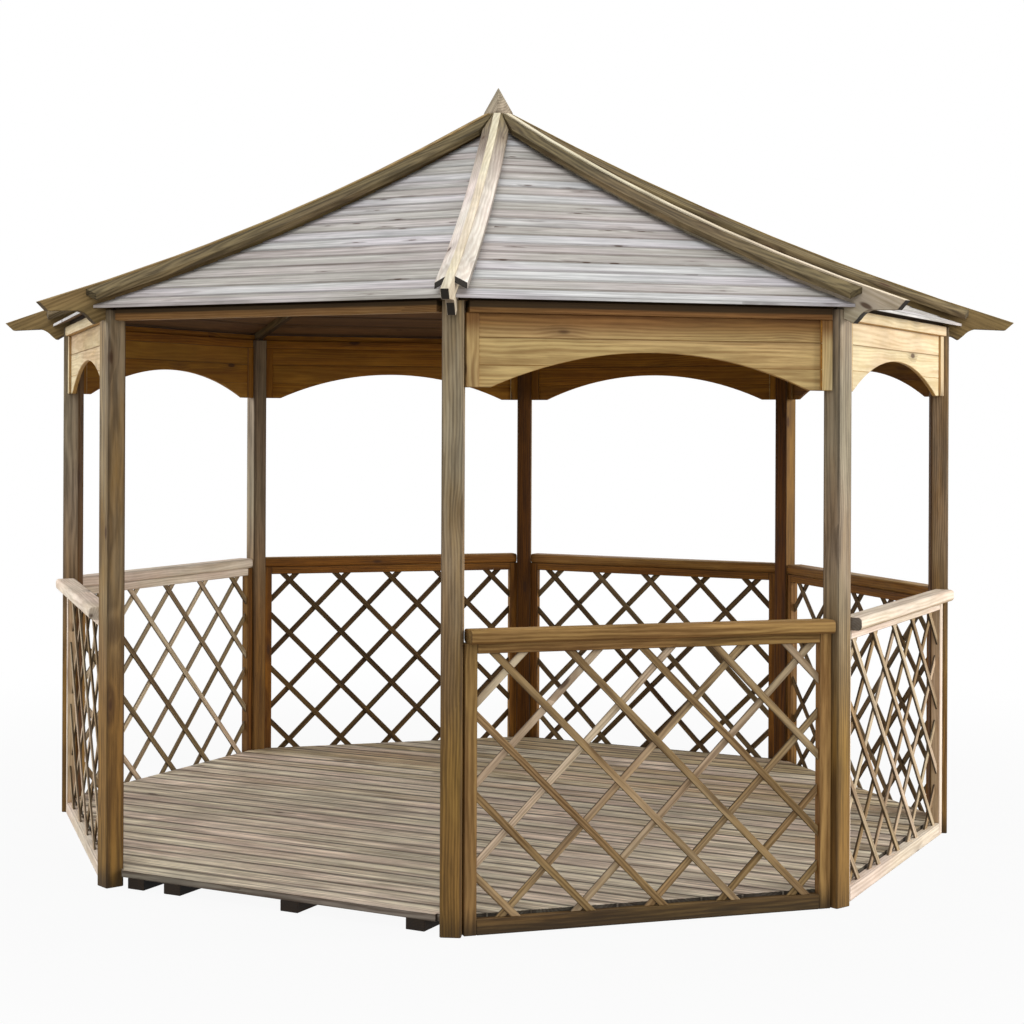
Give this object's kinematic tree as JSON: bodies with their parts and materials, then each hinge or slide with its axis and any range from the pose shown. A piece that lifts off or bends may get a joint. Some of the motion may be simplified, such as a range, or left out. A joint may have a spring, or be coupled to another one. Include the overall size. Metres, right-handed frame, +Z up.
{
  "type": "garden gazebo",
  "caption": "Open octagonal timber gazebo with lattice side panels, arched boards under the eaves, plank floor and a gently curved hipped roof.",
  "frame": {"origin": "on the ground under the middle of the building", "axes": "+Z up; the open entry bay faces -Y; +X is to the right of someone who faces the entry from outside"},
  "size_m": [3.8818, 3.8818, 3.041],
  "materials": {
    "post_wood": "weathered pressure-treated softwood, satin",
    "lattice_wood": "weathered sawn slats, matt",
    "rail_wood": "planed softwood, satin",
    "arch_wood": "planed tongue and groove boards, satin",
    "roof_wood": "weathered roof boards, matt",
    "rafter_wood": "planed softwood, matt",
    "cap_wood": "planed softwood, satin",
    "deck_wood": "weathered floor boards, matt",
    "bearer_wood": "sawn softwood, dark and damp"
  },
  "bodies": {
    "root": {"post_1": "post_wood", "post_2": "post_wood", "post_3": "post_wood", "post_4": "post_wood", "post_5": "post_wood", "post_6": "post_wood", "post_7": "post_wood", "post_8": "post_wood", "lattice_panel_1": "lattice_wood", "lattice_panel_2": "lattice_wood", "lattice_panel_3": "lattice_wood", "lattice_panel_4": "lattice_wood", "lattice_panel_5": "lattice_wood", "lattice_panel_6": "lattice_wood", "lattice_panel_7": "lattice_wood", "handrail_1": "rail_wood", "handrail_2": "rail_wood", "handrail_3": "rail_wood", "handrail_4": "rail_wood", "handrail_5": "rail_wood", "handrail_6": "rail_wood", "handrail_7": "rail_wood", "arch_panel_1": "arch_wood", "arch_panel_2": "arch_wood", "arch_panel_3": "arch_wood", "arch_panel_4": "arch_wood", "arch_panel_5": "arch_wood", "arch_panel_6": "arch_wood", "arch_panel_7": "arch_wood", "roof_panel_1": "roof_wood", "roof_panel_2": "roof_wood", "roof_panel_3": "roof_wood", "roof_panel_4": "roof_wood", "roof_panel_5": "roof_wood", "roof_panel_6": "roof_wood", "roof_panel_7": "roof_wood", "roof_panel_8": "roof_wood", "head_rails": "arch_wood", "eaves_boards": "arch_wood", "hip_rafters": "rafter_wood", "hip_caps": "cap_wood", "roof_hub": "rafter_wood", "finial": "cap_wood", "deck": "deck_wood", "floor_bearers": "bearer_wood"}
  },
  "joints": []
}
